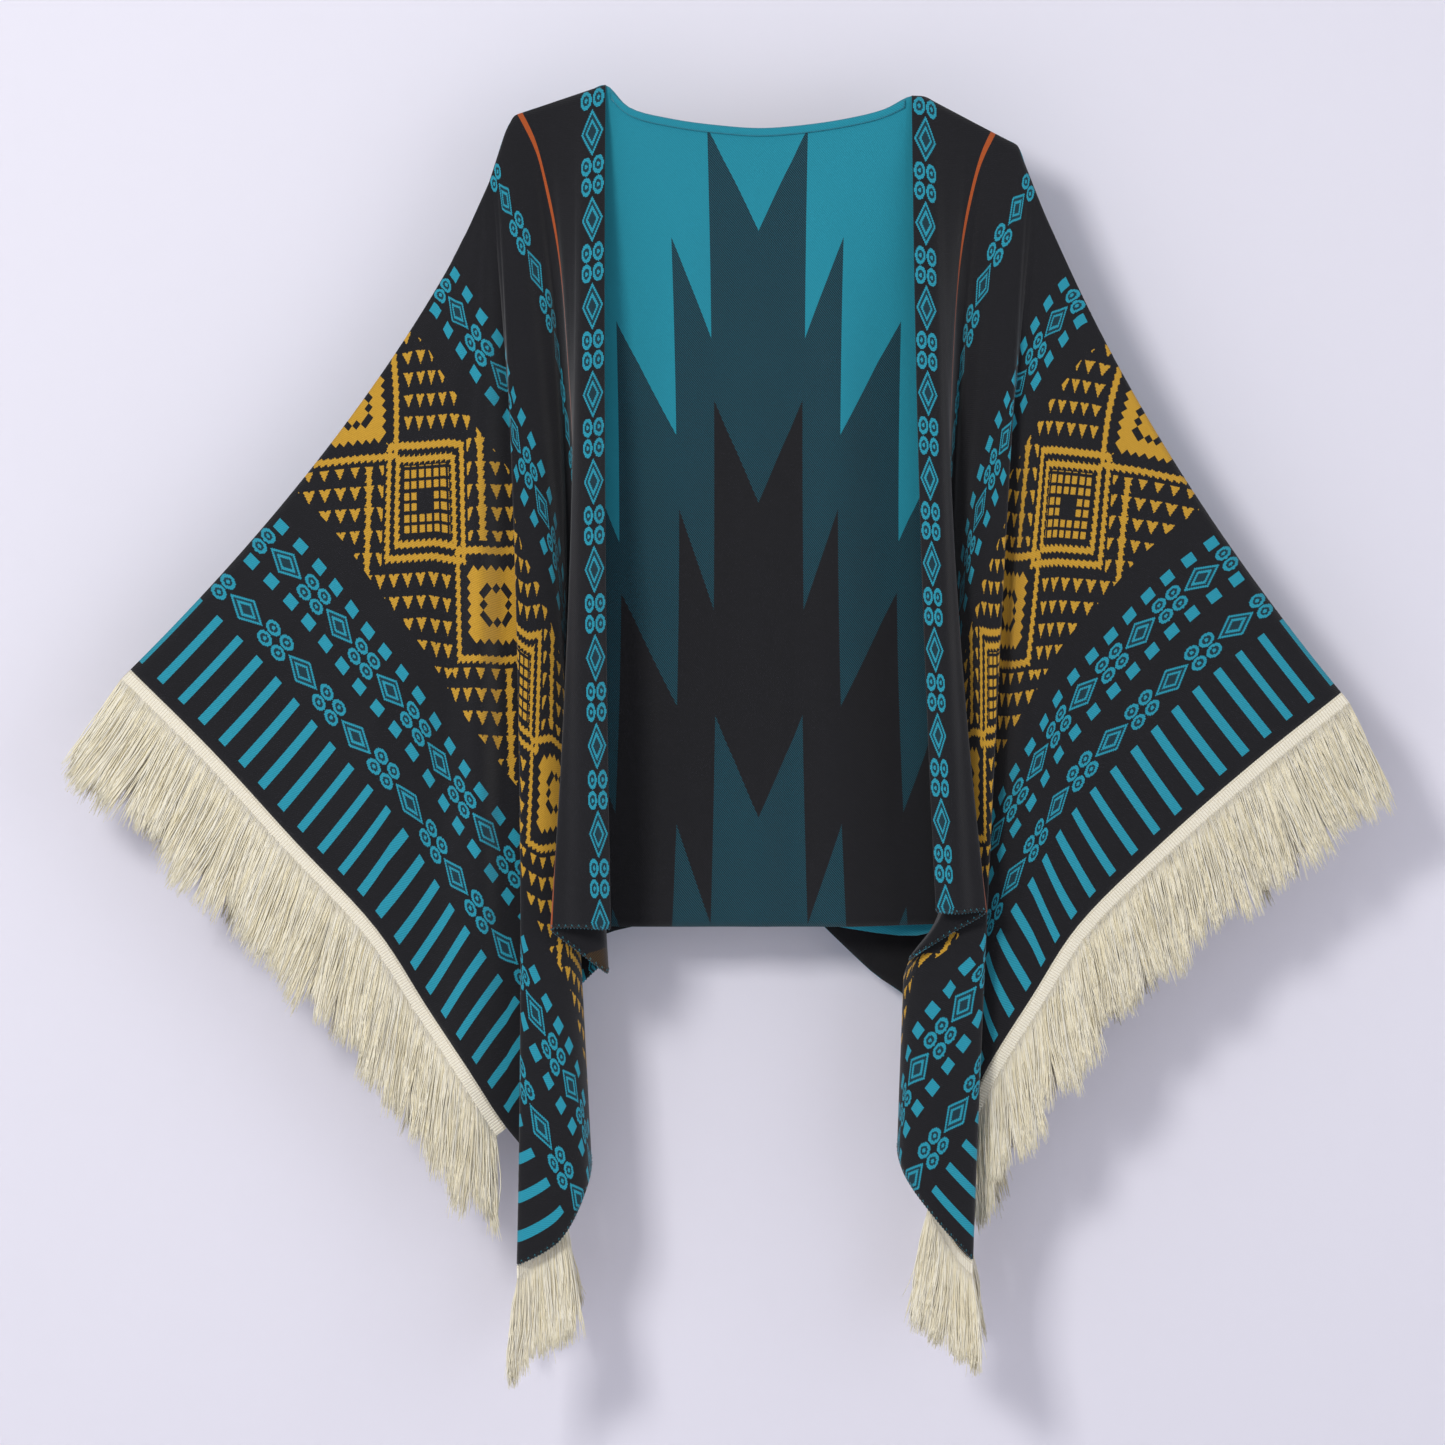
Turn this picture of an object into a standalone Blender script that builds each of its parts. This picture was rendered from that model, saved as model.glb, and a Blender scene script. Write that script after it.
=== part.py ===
"""Open-front woven poncho with fringed ends, hanging from the shoulders.

Millimetres in the tables, metres in the scene, +Z up, the wearer's front facing -Y.
The origin is midway between the two neck points, where the garment is held.
"""
import math
import random
from collections import namedtuple

import bmesh
import bpy
from mathutils import Vector

MM = 0.001

# Cloth and cut
WALL = 2.0
SEAM_GAP = 0.3
PANEL_RUN = 650.0          # along the shoulder, from the neck point to the fringe seam
PANEL_DROP = 695.0         # from the shoulder to the bottom hem
HALF_NECK = 127.5
FOLD_DEPTH = (WALL + SEAM_GAP) / 2

# Neck hem
HEM_WIDTH = 7.0
HEM_WALL = 1.2

# Fringe
TAPE_WIDTH = 12.0

# A fringe tape runs from one place to another round the panel's edge, with so many strands
# of a thickness. In the tail's fold the seam is steep, so the tape there hangs straight down.
SeamStretch = namedtuple("SeamStretch", "start end strands thickness gap hangs")
WING_SEAM = SeamStretch(850.0, PANEL_RUN + PANEL_DROP, 40, 3.6, SEAM_GAP, False)
TAIL_SEAM = SeamStretch(PANEL_RUN, 750.0, 5, 2.2, 1.6, True)

STRAND_LENGTH = 84.0
STRAND_SEED = 7
LOCK_STAGES = ((0.45, 0.9), (1.0, 0.45))   # part of the length, part of the root's width

# Mesh fineness
ROW_LEVELS = 8             # steps down each fold line
CUTS = 2                   # steps between two fold lines

# How far apart front and back hang in the wings, and over what drop that opens up
WING_OPEN = 26.0
WING_OPEN_DROP = 300.0
BACK_WING_INSET = 7.0

# Heights between which a flared tail swings out from under the flap
FLARE_TOP = -675.0
FLARE_FULL = -735.0

# Shoulder lines seen from the front, x and z from the neck point outwards
SHOULDER_LEFT = [(-127, 4), (-202, -21), (-209, -32), (-224, -78), (-262, -163)]
SHOULDER_RIGHT = [(127, -5), (138, -6), (214.5, -46), (238, -105), (276, -189)]
# Back neck edge, x and z from the middle of the back out to each neck point
NECK_LEFT = [(0, -30.7), (-40, -28.2), (-80, -22.4), (-103, -17.4), (-115, -9), (-127, 4)]
NECK_RIGHT = [(0, -30.7), (47, -28.2), (78, -22.4), (106, -15.4), (115, -9), (127, -5)]
NECK_SAG = 11.0            # how far the back neck edge lies behind the neck points

# A fold line runs from the shoulder to the panel's edge. shoulder is how far along the
# shoulder it starts, edge how far round the hem and then up the fringe seam it ends. x and y
# are given half way down and at the end, z at the end. flare is how much of x_end comes
# only from the swing of the tail below the flap.
FoldLine = namedtuple("FoldLine", "name shoulder edge x_mid y_mid x_end y_end z_end flare",
                      defaults=(0.0,))

FRONT_LEFT_FOLDS = [
    FoldLine("front edge", 0, 0, -127, -33, -122, -50, -695),
    FoldLine("border middle", 11, 13, -137, -37, -132, -54, -695),
    FoldLine("flap crest", 20, 32, -147, -36, -146, -55, -694),
    FoldLine("flap hollow", 24, 54, -152, -31, -160, -49, -694),
    FoldLine("flap fold", 28, 78, -154, -27, -171, -46, -695),
    FoldLine("behind flap", 36, 110, -152, -19, -150, -36, -713),
    FoldLine("inner turn", 44, 145, -149, -11, -127, -28, -731),
    FoldLine("inner side", 52, 190, -147, 2, -126, -6, -730),
    FoldLine("inner back", 60, 235, -150, 13, -132, 16, -728),
    FoldLine("pleat turn", 66, 310, -160, 15, -186, 18, -790),
    FoldLine("pleat return", 72, 340, -161, 7, -186, 9, -803),
    FoldLine("pleat run", 80, 400, -163, 1, -164, 2, -840),
    FoldLine("tail side", 88, 470, -166, -9, -140, -11, -882),
    FoldLine("tail ridge", 96, 540, -177, -16, -143, -27, -911),
    FoldLine("tail middle", 106, 592, -189, -21, -165, -35, -953),
    FoldLine("tail corner", 116, 650, -198, -22, -199, -31, -972),
    FoldLine("tail back", 122, 680, -195, -15, -188, -22, -961),
    FoldLine("valley front", 128, 748, -189, -12, -162, -19, -922),
    FoldLine("valley back", 134, 762, -189, -5, -161, -9, -917),
    FoldLine("wing start", 138, 851, -212, -6, -209, -4, -861),
    FoldLine("wing first wave", 145, 914, -233, -14, -243, -14, -808),
    FoldLine("wing soft fold", 151, 975, -250, -11, -275, -9, -760),
    FoldLine("wing second wave", 157, 1048, -271, -13, -316, -15, -696),
    FoldLine("wing third wave", 165, 1150, -300, -9, -385, -10, -622),
    FoldLine("wing upper", 176, 1250, -328, -6, -453, -7, -548),
    FoldLine("shoulder fold", 200, 1345, -365, -FOLD_DEPTH, -521, -FOLD_DEPTH, -481),
]

FRONT_RIGHT_FOLDS = [
    FoldLine("front edge", 0, 0, 133, -33, 146, -48, -681),
    FoldLine("border middle", 11, 13, 142, -37, 156, -52, -682),
    FoldLine("flap crest", 20, 30, 151, -36, 166, -54, -682),
    FoldLine("flap hollow", 25, 52, 156, -31, 177, -48, -681),
    FoldLine("flap fold", 30, 76, 159, -27, 187, -45, -681),
    FoldLine("behind flap", 38, 105, 157, -19, 160, -36, -698),
    FoldLine("inner turn", 46, 142, 156, -11, 121, -29, -719, -33),
    FoldLine("inner side", 54, 188, 155, 2, 122, -8, -722, -32),
    FoldLine("inner back", 62, 235, 156, 13, 134, 15, -728, -20),
    FoldLine("pleat turn", 68, 310, 162, 16, 181, 19, -790),
    FoldLine("pleat return", 74, 340, 164, 8, 181, 9, -803),
    FoldLine("pleat run", 82, 400, 167, 1, 150, 2, -832, -10),
    FoldLine("tail side", 90, 470, 172, -9, 117, -13, -868, -36),
    FoldLine("tail ridge", 98, 540, 181, -16, 119, -27, -895, -36),
    FoldLine("tail middle", 108, 592, 189, -21, 147, -36, -936, -16),
    FoldLine("tail corner", 118, 650, 196, -22, 176, -31, -968),
    FoldLine("tail back", 124, 680, 193, -15, 164, -22, -957),
    FoldLine("valley front", 130, 748, 187, -12, 140, -20, -915),
    FoldLine("valley back", 136, 762, 187, -5, 139, -10, -908),
    FoldLine("wing start", 140, 855, 203, -1, 168, -3, -856),
    FoldLine("wing first wave", 146, 914, 214, -5, 190, -7, -810),
    FoldLine("wing soft fold", 152, 980, 231, -10, 226, -12, -752),
    FoldLine("wing second wave", 158, 1053, 248, -12, 264, -15, -693),
    FoldLine("wing third wave", 166, 1150, 278, -9, 334, -10, -624),
    FoldLine("wing upper", 177, 1250, 310, -6, 411, -7, -557),
    FoldLine("shoulder fold", 200, 1345, 352, -FOLD_DEPTH, 483, -FOLD_DEPTH, -500),
]

# The back's own folds, from the middle of the back outwards; its wings follow the fronts'
BACK_MIDDLE = FoldLine("packing crease", -HALF_NECK, -HALF_NECK, 0, 20, 0, 18, -695)

BACK_LEFT_FOLDS = [
    FoldLine("inner wave", -100, -95, -27, 23, -31, 22, -695),
    FoldLine("middle wave", -60, -48, -66, 19, -77, 18, -695),
    FoldLine("outer wave", -25, -8, -100, 25, -117, 26, -695),
    FoldLine("under flap", 0, 30, -129, 25, -146, 27, -694),
    FoldLine("first fold", 14, 62, -150, 30, -168, 33, -694),
    FoldLine("first return", 28, 110, -149, 40, -142, 42, -696),
    FoldLine("second fold", 40, 185, -144, 44, -84, 46, -692),
    FoldLine("second bend", 46, 200, -144, 52, -84, 55, -692),
    FoldLine("second return", 56, 270, -148, 57, -145, 61, -712),
    FoldLine("third return", 70, 350, -161, 60, -152, 68, -775),
    FoldLine("tail side", 84, 440, -178, 55, -158, 63, -845),
    FoldLine("tail ridge", 98, 550, -188, 47, -153, 53, -895),
    FoldLine("tail corner", 116, 650, -202, 41, -193, 47, -948),
    FoldLine("valley front", 126, 748, -192, 34, -167, 34, -909),
    FoldLine("valley back", 134, 762, -192, 27, -166, 26, -903),
]

BACK_RIGHT_FOLDS = [
    FoldLine("inner wave", -100, -95, 27, 23, 32, 23, -695),
    FoldLine("middle wave", -60, -48, 66, 18, 78, 17, -695),
    FoldLine("outer wave", -25, -8, 100, 25, 118, 26, -694),
    FoldLine("under flap", 0, 30, 130, 25, 148, 27, -693),
    FoldLine("first fold", 14, 62, 149, 30, 158, 33, -693),
    FoldLine("first return", 28, 110, 149, 40, 132, 41, -703),
    FoldLine("second fold", 40, 185, 143, 44, 52, 46, -693),
    FoldLine("second bend", 46, 200, 143, 52, 52, 55, -693),
    FoldLine("second return", 56, 270, 146, 57, 94, 61, -733),
    FoldLine("third return", 70, 350, 159, 61, 132, 70, -765),
    FoldLine("tail side", 84, 440, 176, 55, 146, 64, -845),
    FoldLine("tail ridge", 98, 550, 187, 47, 137, 54, -885),
    FoldLine("tail corner", 116, 650, 200, 42, 176, 47, -944),
    FoldLine("valley front", 128, 748, 192, 35, 152, 37, -905),
    FoldLine("valley back", 136, 762, 192, 27, 152, 29, -899),
]

WING_FOLDS = 7             # fold lines at the end of each front table that the back follows

# Which way the fringe leans from straight down, in degrees outwards, at the start and end of
# a stretch of seam
LEAN_LEFT = (3.0, 33.0)
LEAN_RIGHT = (3.0, 25.0)
LEAN_TAIL = (7.0, -12.0)
LEAN_SPREAD = 2.0          # how unevenly the locks lean
LEAN_APART = 3.0           # front locks lean this far forward and back ones backward

COLOURS = {
    "cloth": (0.012, 0.012, 0.016, 1.0),
    "hem": (0.03, 0.28, 0.35, 1.0),
    "yarn": (0.86, 0.80, 0.61, 1.0),
}


def along(points, distance):
    """Point at a distance along a line of points."""
    for start, end in zip(points, points[1:]):
        start, end = Vector(start), Vector(end)
        step = (end - start).length
        if distance <= step or points[-1] == tuple(end):
            return start.lerp(end, distance / step)
        distance -= step
    return Vector(points[-1])


def line_length(points):
    return sum((Vector(b) - Vector(a)).length for a, b in zip(points, points[1:]))


def through(start, middle, end, part):
    """Value of the parabola through three values, half way and at both ends."""
    return (start * (1 - part) * (1 - 2 * part) + middle * 4 * part * (1 - part)
            + end * part * (2 * part - 1))


def smooth_step(low, high, value):
    part = min(1.0, max(0.0, (value - low) / (high - low)))
    return part * part * (3 - 2 * part)


def top_point(fold, right, behind):
    """Where a fold line starts, on the shoulder or on the back neck edge."""
    depth = FOLD_DEPTH if behind else -FOLD_DEPTH
    if fold.shoulder >= 0:
        x, z = along(SHOULDER_RIGHT if right else SHOULDER_LEFT, fold.shoulder)
        return Vector((x, depth, z))
    neck = NECK_RIGHT if right else NECK_LEFT
    part = 1 + fold.shoulder / HALF_NECK
    x, z = along(neck, part * line_length(neck))
    return Vector((x, depth + NECK_SAG * math.cos(part * math.pi / 2) ** 2, z))


def fold_point(fold, right, behind, part):
    """Point part of the way down a fold line."""
    top = top_point(fold, right, behind)
    z = top.z + (fold.z_end - top.z) * part
    x = through(top.x, fold.x_mid, fold.x_end - fold.flare, part)
    x += fold.flare * smooth_step(FLARE_TOP, FLARE_FULL, z)
    y = through(top.y, fold.y_mid, fold.y_end, part)
    return Vector((x, y, z))


def spline(before, start, end, after, part):
    """Centripetal curve from start to end, smooth through both."""
    points = (before, start, end, after)
    knots = [0.0]
    for first, second in zip(points, points[1:]):
        knots.append(knots[-1] + math.sqrt(max((second - first).length, 1e-6)))
    at = knots[1] + (knots[2] - knots[1]) * part

    def mix(p, q, low, high):
        return p.lerp(q, (at - low) / (high - low))

    first = [mix(points[i], points[i + 1], knots[i], knots[i + 1]) for i in range(3)]
    second = [mix(first[i], first[i + 1], knots[i], knots[i + 2]) for i in range(2)]
    return mix(second[0], second[1], knots[1], knots[2])


def across(points, cuts):
    """Points of a smooth curve through the given points, with cuts steps in each gap."""
    ends = [2 * points[0] - points[1]] + points + [2 * points[-1] - points[-2]]
    curve = []
    for i in range(len(points) - 1):
        curve += [spline(*ends[i:i + 4], cut / cuts) for cut in range(cuts)]
    return curve + [points[-1]]


def panel_rows(folds, levels, cuts):
    """Rows of points down a panel. Each fold is a fold line with its side and layer."""
    return [across([fold_point(*fold, level / levels) for fold in folds], cuts)
            for level in range(levels + 1)]


def front_folds(right):
    table = FRONT_RIGHT_FOLDS if right else FRONT_LEFT_FOLDS
    return [(fold, right, False) for fold in table]


def back_wing(fold):
    """Fold line of the back wing that hangs behind a front one, a little inside it."""
    drop = PANEL_RUN + PANEL_DROP - fold.edge
    open_part = min(1.0, drop / WING_OPEN_DROP)
    if open_part == 0:
        return fold._replace(y_mid=FOLD_DEPTH, y_end=FOLD_DEPTH)
    spacing = WING_OPEN * open_part ** 0.6
    inset = BACK_WING_INSET * open_part
    return fold._replace(y_mid=fold.y_mid + spacing, y_end=fold.y_end + spacing,
                         z_end=fold.z_end + inset)


def back_side(right):
    """Fold lines of half the back, from beside the middle out to the shoulder fold."""
    own = BACK_RIGHT_FOLDS if right else BACK_LEFT_FOLDS
    front = FRONT_RIGHT_FOLDS if right else FRONT_LEFT_FOLDS
    wing = [back_wing(fold) for fold in front[-WING_FOLDS:]]
    return [(fold, right, True) for fold in own + wing]


def back_folds():
    return back_side(False)[::-1] + [(BACK_MIDDLE, True, True)] + back_side(True)


def make_material(name, colour, roughness):
    material = bpy.data.materials.new(name)
    material.use_nodes = True
    shader = material.node_tree.nodes["Principled BSDF"]
    shader.inputs["Base Color"].default_value = colour
    shader.inputs["Roughness"].default_value = roughness
    shader.inputs["Metallic"].default_value = 0.0
    return material


def add_object(name, mesh, collection, colour):
    thing = bpy.data.objects.new(name, mesh)
    thing.data.materials.append(make_material(name + "_finish", colour, 0.9))
    collection.objects.link(thing)
    return thing


def sheet_mesh(name, rows):
    """Open surface through rows of points, in metres."""
    shape = bmesh.new()
    down, wide = len(rows), len(rows[0])
    bmesh.ops.create_grid(shape, x_segments=wide - 1, y_segments=down - 1, size=0.5)
    shape.verts.ensure_lookup_table()
    for index, vert in enumerate(shape.verts):
        vert.co = rows[index // wide][index % wide] * MM
    mesh = bpy.data.meshes.new(name)
    shape.to_mesh(mesh)
    shape.free()
    return mesh


def thicken(thing, wall):
    solid = thing.modifiers.new("wall", "SOLIDIFY")
    solid.thickness = wall * MM
    solid.offset = 0.0
    solid.use_even_offset = False


def make_panel(name, folds, collection):
    rows = panel_rows(folds, ROW_LEVELS, CUTS)
    panel = add_object(name, sheet_mesh(name, rows), collection, COLOURS["cloth"])
    thicken(panel, WALL)
    return panel


def make_neck_hem(collection):
    """Turned hem on the inner face of the back, from one neck point to the other."""
    own = [fold for fold in back_folds() if fold[0].shoulder <= 0]
    lift = WALL / 2 + SEAM_GAP + HEM_WALL / 2
    rows = []
    for drop in (0.5, HEM_WIDTH):
        line = across([fold_point(*fold, drop / PANEL_DROP) for fold in own], 3)
        rows.append([point - Vector((0, lift, 0)) for point in line[1:-1]])
    hem = add_object("neck_hem", sheet_mesh("neck_hem", rows), collection, COLOURS["hem"])
    thicken(hem, HEM_WALL)
    return hem


def seam_line(folds, seam_from, seam_to, cells):
    """Points and outward directions along a stretch of fringe seam, evenly spaced."""
    ends = across([fold_point(*fold, 1.0) for fold in folds], CUTS)
    above = across([fold_point(*fold, 0.97) for fold in folds], CUTS)
    first = CUTS * min(i for i, fold in enumerate(folds) if fold[0].edge >= seam_from)
    last = CUTS * max(i for i, fold in enumerate(folds) if fold[0].edge <= seam_to)
    runs = [0.0]
    outwards = []
    for index in range(first, last + 1):
        tangent = (ends[min(index + 1, last)] - ends[index - 1]).normalized()
        outward = ends[index] - above[index]
        outwards.append((outward - outward.dot(tangent) * tangent).normalized())
        if index > first:
            runs.append(runs[-1] + (ends[index] - ends[index - 1]).length)
    line = []
    for cell in range(cells + 1):
        run = runs[-1] * cell / cells
        place = max(i for i in range(len(runs) - 1) if runs[i] <= run + 1e-9)
        part = (run - runs[place]) / (runs[place + 1] - runs[place])
        point = ends[first + place].lerp(ends[first + place + 1], part)
        line.append((point, outwards[place].lerp(outwards[place + 1], part).normalized()))
    return line


def leaning(angle, right, forward):
    """Direction leaning outwards from straight down, and forward, by angles in degrees."""
    side = 1 if right else -1
    tilt = Vector((side * math.sin(math.radians(angle)), -math.tan(math.radians(forward)),
                   -math.cos(math.radians(angle))))
    return tilt.normalized()


def make_fringe(name, right, behind, seam, collection):
    """Tape along a fringe seam, with every other cell of its outer edge drawn out."""
    folds = back_side(right) if behind else front_folds(right)
    line = seam_line(folds, seam.start, seam.end, 2 * seam.strands)
    shape = bmesh.new()
    sections = []
    for index, (point, outward) in enumerate(line):
        before, after = line[max(index - 1, 0)][0], line[min(index + 1, len(line) - 1)][0]
        if seam.hangs:
            outward = Vector((0, 0, -1))
        near = point + outward * seam.gap
        far = near + outward * TAPE_WIDTH
        half = (after - before).cross(outward).normalized() * WALL / 2
        corners = (near - half, far - half, far + half, near + half)
        sections.append([shape.verts.new(corner * MM) for corner in corners])
    outer = []
    for start, end in zip(sections, sections[1:]):
        for side in range(4):
            after = (side + 1) % 4
            face = shape.faces.new((start[side], end[side], end[after], start[after]))
            if side == 1:
                outer.append(face)
    shape.faces.new(sections[0])
    shape.faces.new(sections[-1][::-1])
    bmesh.ops.recalc_face_normals(shape, faces=shape.faces[:])
    leans = LEAN_TAIL if seam.hangs else LEAN_RIGHT if right else LEAN_LEFT
    draw_strands(shape, outer[::2], right, -LEAN_APART if behind else LEAN_APART, leans,
                 seam.thickness)
    mesh = bpy.data.meshes.new(name)
    shape.to_mesh(mesh)
    shape.free()
    return add_object(name, mesh, collection, COLOURS["yarn"])


def draw_strands(shape, cells, right, forward, lean_ends, thickness):
    """Draw each cell out into a lock that swells a little and then narrows to its end."""
    chance = random.Random(STRAND_SEED)
    roots = [face.calc_center_median() for face in cells]
    tangents = [(after - before).normalized()
                for before, after in zip(roots[:1] + roots[:-1], roots[1:] + roots[-1:])]
    widths = [face.calc_area() / (WALL * MM) for face in cells]
    thicks = [face.normal.cross(tangent).normalized() for face, tangent in zip(cells, tangents)]
    corners = [corner_signs(*lock) for lock in zip(cells, roots, tangents, thicks)]
    uneven = LEAN_SPREAD * thickness / WING_SEAM.thickness
    leans = [chance.uniform(-uneven, uneven) for _ in cells]
    lengths = [STRAND_LENGTH * MM * chance.uniform(0.9, 1.08) for _ in cells]
    for index, tip in enumerate(cells):
        part = index / (len(cells) - 1)
        lean = lean_ends[0] + (lean_ends[1] - lean_ends[0]) * part + leans[index]
        down = leaning(lean, right, forward)
        # where the seam runs steeply the locks hang close together, so they are narrower
        wide = tangents[index] - tangents[index].dot(down) * down
        thick = down.cross(wide).normalized() * thickness * MM / 2
        if thick.dot(thicks[index]) < 0:
            thick = -thick
        wide = wide * widths[index] / 2
        for reach, spread in LOCK_STAGES:
            tip = bmesh.ops.extrude_discrete_faces(shape, faces=[tip])["faces"][0]
            middle = roots[index] + down * lengths[index] * reach
            for vert, (across_sign, through_sign) in zip(tip.verts, corners[index]):
                vert.co = middle + (wide * across_sign + thick * through_sign) * spread


def corner_signs(face, middle, wide, thick):
    """For each corner of a cell, which side of its middle it lies on, across and through."""
    return [(math.copysign(1, (vert.co - middle).dot(wide)),
             math.copysign(1, (vert.co - middle).dot(thick))) for vert in face.verts]


def main():
    for thing in list(bpy.data.objects):
        bpy.data.objects.remove(thing, do_unlink=True)
    collection = bpy.data.collections.new("poncho")
    bpy.context.scene.collection.children.link(collection)

    make_panel("front_panel_left", front_folds(False), collection)
    make_panel("front_panel_right", front_folds(True), collection)
    make_panel("back_panel", back_folds(), collection)
    make_neck_hem(collection)
    for right, side in ((False, "left"), (True, "right")):
        for behind, layer in ((False, "front"), (True, "back")):
            make_fringe(f"fringe_{side}_{layer}", right, behind, WING_SEAM, collection)
            make_fringe(f"tassel_{side}_{layer}", right, behind, TAIL_SEAM, collection)


main()
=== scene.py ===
import math
import random
from collections import namedtuple

import bmesh
import bpy
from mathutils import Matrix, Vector, noise


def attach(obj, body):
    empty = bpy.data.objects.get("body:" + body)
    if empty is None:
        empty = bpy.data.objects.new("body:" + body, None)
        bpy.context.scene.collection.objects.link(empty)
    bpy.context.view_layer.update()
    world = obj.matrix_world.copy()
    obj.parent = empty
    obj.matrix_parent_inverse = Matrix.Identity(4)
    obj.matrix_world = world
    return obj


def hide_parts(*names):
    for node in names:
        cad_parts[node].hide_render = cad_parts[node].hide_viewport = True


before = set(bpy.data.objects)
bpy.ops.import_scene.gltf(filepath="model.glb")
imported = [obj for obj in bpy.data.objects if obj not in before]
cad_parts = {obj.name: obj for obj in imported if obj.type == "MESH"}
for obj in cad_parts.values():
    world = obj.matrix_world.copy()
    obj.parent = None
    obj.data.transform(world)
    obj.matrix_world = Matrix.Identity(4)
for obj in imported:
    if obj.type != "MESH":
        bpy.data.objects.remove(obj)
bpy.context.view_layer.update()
mm = 0.001

# The cut, in millimetres: two fronts and a back, woven, with the fringe sewn to the side edges
cut = {
    "run": 650.0,              # along the shoulder, from the neck point to the fringe seam
    "drop": 695.0,             # from the shoulder to the bottom hem
    "halfNeck": 127.5,
    "wall": 1.9,
    "gap": 2.3,                # between the middles of front and back along the shoulder
    "neckSag": 11.0,           # how far the back neck edge lies behind the neck points
    "levels": 110,             # steps down a panel
    "frontCuts": 9,            # steps between two fold lines
    "backCuts": 5,
}
wing = {
    "open": 26.0,              # how far apart front and back hang at the seam
    "openDrop": 300.0,
    "inset": 7.0,
    "folds": 7,                # fold lines at the end of each front that the back follows
}
flare = {"top": -675.0, "full": -735.0}    # heights where a tail swings out below its flap
foldDepth = cut["gap"] / 2

# Shoulder lines and back neck edge seen from the front, x and z
shoulderLeft = [(-127, 4), (-202, -21), (-209, -32), (-224, -78), (-262, -163)]
shoulderRight = [(127, -5), (138, -6), (214.5, -46), (238, -105), (276, -189)]
neckLeft = [(0, -30.7), (-40, -28.2), (-80, -22.4), (-103, -17.4), (-115, -9), (-127, 4)]
neckRight = [(0, -30.7), (47, -28.2), (78, -22.4), (106, -15.4), (115, -9), (127, -5)]

# A fold line runs from the shoulder to the edge: where it starts along the shoulder, how far
# round the hem and up the fringe seam it ends, and its place half way down and at the end
Fold = namedtuple("Fold", "name shoulder edge xMid yMid xEnd yEnd zEnd flare", defaults=(0.0,))

frontLeftFolds = [
    Fold("front edge", 0, 0, -127, -33, -122, -50, -695),
    Fold("border middle", 11, 13, -137, -37, -132, -54, -695),
    Fold("flap crest", 20, 32, -147, -36, -146, -55, -694),
    Fold("flap hollow", 24, 54, -152, -31, -160, -49, -694),
    Fold("flap fold", 28, 78, -154, -27, -171, -46, -695),
    Fold("behind flap", 36, 110, -152, -19, -150, -36, -713),
    Fold("inner turn", 44, 145, -149, -11, -127, -28, -731),
    Fold("inner side", 52, 190, -147, 2, -126, -6, -730),
    Fold("inner back", 60, 235, -150, 13, -132, 16, -728),
    Fold("pleat turn", 66, 310, -160, 15, -186, 18, -790),
    Fold("pleat return", 72, 340, -161, 7, -186, 9, -803),
    Fold("pleat run", 80, 400, -163, 1, -164, 2, -840),
    Fold("tail side", 88, 470, -166, -9, -140, -11, -882),
    Fold("tail ridge", 96, 540, -177, -16, -143, -27, -911),
    Fold("tail middle", 106, 592, -189, -21, -165, -35, -953),
    Fold("tail corner", 116, 650, -198, -22, -199, -31, -972),
    Fold("tail back", 122, 680, -195, -15, -188, -22, -961),
    Fold("valley front", 128, 748, -189, -12, -162, -19, -922),
    Fold("valley back", 134, 762, -189, -5, -161, -9, -917),
    Fold("wing start", 138, 851, -212, -6, -209, -4, -861),
    Fold("wing first wave", 145, 914, -233, -14, -243, -14, -808),
    Fold("wing soft fold", 151, 975, -250, -11, -275, -9, -760),
    Fold("wing second wave", 157, 1048, -271, -13, -316, -15, -696),
    Fold("wing third wave", 165, 1150, -300, -9, -385, -10, -622),
    Fold("wing upper", 176, 1250, -328, -6, -453, -7, -548),
    Fold("shoulder fold", 200, 1345, -365, -foldDepth, -521, -foldDepth, -481),
]

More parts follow.
